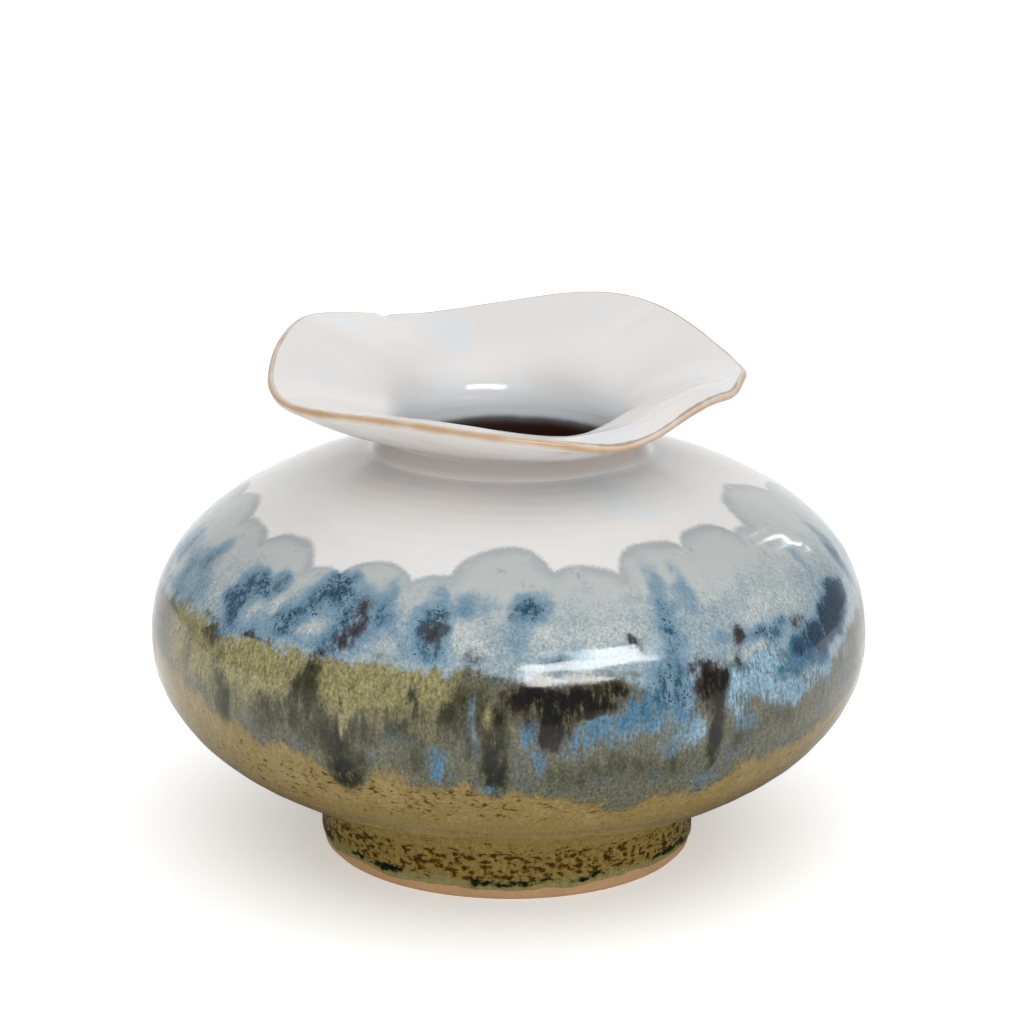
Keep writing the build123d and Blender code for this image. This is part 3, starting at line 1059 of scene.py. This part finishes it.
# %% Grains of the body glaze, in millimetres
body_material, tree, shader = start_material("running_stoneware_glazes", IOR=1.5)
flow_vector = add(tree, "Attribute", attribute_name="flow").outputs["Vector"]
grains = grains_for(
    tree,
    flow_vector,
    {
        "speck": (0.7, 1.25, 1.0, 0.5),
        "fleck": (2.2, 0.6, 2.0, 0.6),
        "thread": (0.9, 6.0, 2.0, 0.5),
        "mottle": (5.0, 1.5, 5.0, 0.78),
        "streak": (2.0, 6.0, 3.0, 0.6),
        "cloud": (8.0, 1.2, 3.0, 0.6),
        "sky": (30.0, 1.0, 2.0, 0.5),
    },
)
falling = add(
    tree, "Math", {0: tree_value(tree, "level"), 1: -1.0}, operation="MULTIPLY"
).outputs[0]
print("grains:", sorted(grains))

# %% White shoulder, and the grey and blue that were brushed under it
shoulder = paint(
    tree,
    "#e9e6e3",
    [
        (grains["sky"], 0.0, 0.2, "#e6e6e6", "#dfe2e4", {"cloud": 0.2}),
        # From 113.5 mm up, the neck under the rim is greyer and pinker: painted shade.
        ("level", 113.5, 116.0, "#d8cfca", "#d3cac4", {}),
    ],
    grains,
)
brushed = paint(
    tree,
    "#adb2b4",
    [
        ("dab", 0.2, 1.9, "#b5babb", "#bcc0bf", {"cloud": 4.0}),
        (grains["cloud"], 0.0, 0.22, "#babfbd", "#c2c5c3", {"mottle": 0.4}),
        (grains["streak"], 0.1, 0.34, "#adb3b5", "#a5adb0", {"cloud": 0.9}),
        (falling, -98.0, -86.0, "#9fabaf", "#98a8ae", {"cloud": 14.0, "mottle": 14.0}),
        ("blue", 0.02, 0.4, "#95a7b1", "#869cab", {"mottle": 3.0, "cloud": 1.0}),
        ("pale", 0.1, 0.8, "#acb7b9", "#babfbd", {"mottle": 3.0}),
        ("blue", 0.15, 0.8, "#839dae", "#668699", {"mottle": 3.4, "streak": 1.2, "thread": 0.8}),
        ("blue", 0.6, 1.2, "#536f84", "#344b5e", {"mottle": 3.2, "streak": 1.2, "thread": 1.0}),
        ("blue", 1.2, 1.7, "#2c4459", "#263d52", {"mottle": 1.6}),
        ("blue", 0.95, 1.7, "#4d6070", "#3d4b59", {"speck": 7.0, "thread": 3.0}),
        ("iron", 0.15, 0.95, "#5c5f66", "#423f40", {"mottle": 3.4, "streak": 1.4, "thread": 1.2}),
    ],
    grains,
)
print(f"{len(tree.nodes)} nodes down to the blue")

# %% The glaze that ran, and the ochre beneath it
run = paint(
    tree,
    "#6b6a5b",
    [
        (grains["cloud"], -0.1, 0.2, "#686a60", "#62686b", {"streak": 1.0}),
        ("leftward", 0.2, 1.0, "#7f795d", "#969069", {"mottle": 0.9, "streak": 1.0, "thread": 0.4}),
        ("shade", 0.1, 0.7, "#605f4f", "#4b4a3c", {"mottle": 3.0, "streak": 2.4, "thread": 1.4}),
        ("shade", 0.65, 1.3, "#424335", "#303227", {"mottle": 2.4, "streak": 1.6, "thread": 1.0}),
        ("pale", 0.1, 0.8, "#7893a4", "#8fabba", {"mottle": 3.0, "streak": 1.4, "thread": 1.2}),
        ("blue", 0.15, 0.8, "#68899e", "#456981", {"mottle": 3.4, "streak": 1.4, "thread": 1.2}),
        ("blue", 0.8, 1.4, "#3a5469", "#263d52", {"mottle": 2.0}),
        ("iron", 0.15, 0.9, "#4c4336", "#292923", {"mottle": 3.0, "streak": 1.8, "thread": 1.4}),
        ("olive", 0.1, 0.8, "#8a8462", "#96906c", {"mottle": 2.0}),
    ],
    grains,
)
ochre = paint(
    tree,
    "#927f55",
    [
        (grains["cloud"], -0.1, 0.2, "#948159", "#9b8b63", {"mottle": 0.5}),
        (falling, -34.0, -17.0, "#96855a", "#948151", {"cloud": 8.0}),
        (falling, -7.5, -4.5, "#8c8154", "#958e66", {"cloud": 4.0}),
        ("flecks", 0.42, 0.8, "#745c2d", "#523f17", {"fleck": 2.8, "speck": 0.5}),
        ("tide", 0.3, 0.8, "#4a4a2c", "#243432", {"fleck": 1.6, "speck": 0.5}),
    ],
    grains,
)
print(f"{len(tree.nodes)} nodes down to the ochre")

# %% Where each glaze ends, and the grain in all of them
run_cover, _ = cover_of(tree, "run", -1.4, 1.6, {"mottle": 12.0}, grains)
dab_cover, _ = cover_of(tree, "dab", -0.45, 0.45, {"speck": 0.8}, grains)
ochre_cover, _ = cover_of(tree, "ochre", -1.6, 2.2, {"mottle": 12.0, "thread": 2.0}, grains)

# Every glaze that ran has a grain of its own, finer than any of its patches.
rough_grain = 1.0
for grain, amount in {"speck": 1.7, "thread": 1.2}.items():
    rough_grain = add(
        tree, "Math", {0: grains[grain], 1: amount, 2: rough_grain}, operation="MULTIPLY_ADD"
    ).outputs[0]
grain_cover, _ = cover_of(tree, falling, -100.0, -86.0, {"cloud": 8.0}, grains)
grain_cover = add(tree, "Math", {0: grain_cover, 1: 0.6}, operation="MULTIPLY").outputs[0]
brushed = mixed(tree, grain_cover, brushed, rough_grain, blend_type="MULTIPLY")
run = mixed(tree, 1.0, run, rough_grain, blend_type="MULTIPLY")
ochre = mixed(tree, 0.5, ochre, rough_grain, blend_type="MULTIPLY")
colour = mixed(tree, run_cover, brushed, run)
colour = mixed(tree, dab_cover, shoulder, colour)
colour = mixed(tree, ochre_cover, colour, ochre)
tree.links.new(colour, shader.inputs["Base Color"])
print(f"{len(tree.nodes)} nodes with the glazes laid over each other")

# %% Gloss, a little less where the glaze is grainy, and skin dimpled like orange peel
gloss_between(tree, shader, grains["speck"], -0.2, 0.2, smooth=0.09, dull=0.13)
dimpled(tree, shader, grains["mottle"], deep=0.03)
body.data.materials.append(body_material)
print(f"{body_material.name}: {len(tree.nodes)} nodes")

# %% [markdown]
# ## The white glaze of the rim
# The same white glaze lies on both sides of the rim, but melted glass creeps away from a sharp
# edge.  On the lip it is so thin that the tan clay shines through, in a narrow band that is
# darkest right on the edge.  The band follows the distance from the lip that was stored on the
# points, so it stays on the edge through every wave.

# %% Material of the rim
rim_material, tree, shader = start_material("white_glaze_over_tan_clay", IOR=1.5)
flow_vector = add(tree, "Attribute", attribute_name="flow").outputs["Vector"]
grains = grains_for(
    tree,
    flow_vector,
    {
        "speck": (0.8, 1.0, 2.0, 0.5),
        "patch": (14.0, 1.0, 2.0, 0.5),
        "sky": (34.0, 1.0, 1.0, 0.5),
    },
)


def nearness(middle):
    """0 on a line round the rim that far inside the lip's edge, and -1 each millimetre away."""
    beside = add(
        tree, "Math", {0: tree_value(tree, "round_lip"), 1: middle}, operation="SUBTRACT"
    ).outputs[0]
    away = add(tree, "Math", {0: beside}, operation="ABSOLUTE").outputs[0]
    return add(tree, "Math", {0: away, 1: -1.0}, operation="MULTIPLY").outputs[0]


lip_near = nearness(0.0)
line_near = nearness(1.9)
# Whiter from about 11 mm above the neck down into the throat: painted light against the shade deep
# in the throat.
painted_light_depth = add(
    tree, "Math", {0: tree_value(tree, "above_neck"), 1: -1.0}, operation="MULTIPLY"
).outputs[0]
colour = paint(
    tree,
    "#eeeae7",
    [
        (grains["sky"], 0.0, 0.2, "#eeecec", "#e8eaed", {}),
        (painted_light_depth, -11.0, -2.0, "#eceff2", "#f2f5f8", {"sky": 5.0}),
        (lip_near, -2.5, -1.0, "#ddd2c8", "#d4c3b1", {"patch": 1.0, "speck": 0.5}),
        (lip_near, -1.2, -0.2, "#ccb39a", "#c09c7a", {"patch": 1.6, "speck": 0.3}),
        (line_near, -0.55, 0.0, "#bdb0a5", "#ae9f91", {"patch": 1.0}),
    ],
    grains,
)
tree.links.new(colour, shader.inputs["Base Color"])
gloss_between(tree, shader, lip_near, -2.5, 0.0, smooth=0.13, dull=0.3)
dimpled(tree, shader, grains["patch"], deep=0.05)
rim.data.materials.append(rim_material)
print(f"{rim_material.name}: {len(tree.nodes)} nodes")

# %% [markdown]
# ## The dark liner
# An iron glaze, poured in and out, fires to a satin brown that is almost black in the shade of the
# vase.  In the throat the white of the rim ran down over it, so the colour changes with height.

# %% Material of the liner
liner_material, tree, shader = start_material("dark_iron_liner_glaze", Roughness=0.4, IOR=1.5)
place = add(tree, "TexCoord").outputs["Object"]
level = add(tree, "SeparateXYZ", {0: place}).outputs["Z"]
mottle = add(tree, "TexNoise", {"Vector": place, "Scale": 70.0, "Detail": 3.0}).outputs[0]
grains = {"mottle": add(tree, "Math", {0: mottle, 1: 0.5}, operation="SUBTRACT").outputs[0]}
thin_from, thin_to = (neck_top - 6.5) * MM, (neck_top - 3.5) * MM
white_from, white_to = (neck_top - 4.2) * MM, (neck_top - 2.6) * MM
colour = paint(
    tree,
    "#49372a",
    [
        (grains["mottle"], 0.0, 0.2, "#4e3a2b", "#584332", {}),
        (level, thin_from, thin_to, "#5b5550", "#8d9196", {"mottle": 2 * MM}),
        (level, white_from, white_to, "#c9ced4", "#f2f5f8", {"mottle": 2 * MM}),
    ],
    grains,
)
tree.links.new(colour, shader.inputs["Base Color"])
dimpled(tree, shader, mottle, deep=0.1)
liner.data.materials.append(liner_material)
print(f"{liner_material.name}: {len(tree.nodes)} nodes")

# %% [markdown]
# ## Bare clay
# Stoneware clay with sand in it fires to a dull tan, and shows only where glaze was wiped off, on
# the foot.  It is dry and gritty to the touch: a high roughness and a fine tooth, drawn about
# 0.7 mm wide so that it shows.  It goes on the CAD nodes themselves, because their shape is right.

# %% Material of the bare clay
clay_material, tree, shader = start_material("bare_tan_stoneware")
place = add(tree, "TexCoord").outputs["Object"]
mottle = add(tree, "TexNoise", {"Vector": place, "Scale": 180.0, "Detail": 4.0}).outputs[0]
tint = add(
    tree, "Mix", {0: mottle, 6: shade("#a8835c"), 7: shade("#c09a6e")}, data_type="RGBA"
).outputs[2]
tree.links.new(tint, shader.inputs["Base Color"])
grit = add(tree, "TexNoise", {"Vector": place, "Scale": 1400.0, "Detail": 3.0}).outputs[0]
gloss_between(tree, shader, grit, 0.3, 0.7, smooth=0.72, dull=0.9)
dimpled(tree, shader, grit, deep=0.12)
clay_nodes = ["foot_ring", "lower_bowl", "upper_bowl", "neck_collar"]
clay_nodes += ["foot_joint_coil", "neck_joint_coil"]
for node in clay_nodes:
    clay = bpy.data.objects[node]
    clay.data.materials.clear()
    clay.data.materials.append(clay_material)
print(f"{clay_material.name} on {len(clay_nodes)} nodes")

# %% [markdown]
# ## The floor
# A sweep of matt white paper, so that nothing competes with the vase, glowing a little as a light
# table does.  The card that stands in for it in reflections is dark under the vase, where the
# vase shades the floor, and darker again towards the viewer.

# %% Material of the floor
floor_material, tree, shader = start_material("white_paper_sweep", Roughness=0.9)
place = add(tree, "TexCoord").outputs["Object"]
mottle = add(tree, "TexNoise", {"Vector": place, "Scale": 3.0}).outputs[0]
tint = add(
    tree, "Mix", {0: mottle, 6: shade("#fbfbfb"), 7: shade("#fdfdfd")}, data_type="RGBA"
).outputs[2]
tree.links.new(tint, shader.inputs["Base Color"])
shader.inputs["Emission Color"].default_value = (1.0, 1.0, 1.0, 1.0)
shader.inputs["Emission Strength"].default_value = 0.3
floor.data.materials.append(floor_material)
print(f"{floor_material.name}: {len(tree.nodes)} nodes")

# %% Material of the reflected floor
card_material, tree, shader = start_material("floor_as_the_glaze_sees_it", Roughness=1.0)
place = add(tree, "TexCoord").outputs["Object"]
away = add(tree, "VectorMath", {0: place}, operation="LENGTH").outputs["Value"]
toward = add(tree, "SeparateXYZ", {0: place}).outputs["Y"]
# The card's glow is a painted reflection of the floor: dim right under the vase as a painted shadow,
# and dimmer towards the viewer.
glows = []
for value, low, high, least in ((away, 0.066, 0.2, 0.04), (toward, -0.9, -0.1, 0.3)):
    ends = {"From Min": low, "From Max": high, "To Min": least, "To Max": 1.0}
    glows.append(
        add(
            tree, "MapRange", {"Value": value, **ends}, interpolation_type="SMOOTHSTEP"
        ).outputs[0]
    )
glow = add(tree, "Math", {0: glows[0], 1: glows[1]}, operation="MULTIPLY").outputs[0]
shader.inputs["Base Color"].default_value = (0.0, 0.0, 0.0, 1.0)
shader.inputs["Emission Color"].default_value = (1.0, 1.0, 1.0, 1.0)
tree.links.new(glow, shader.inputs["Emission Strength"])
card.data.materials.append(card_material)
print(f"{card_material.name}: {len(tree.nodes)} nodes")
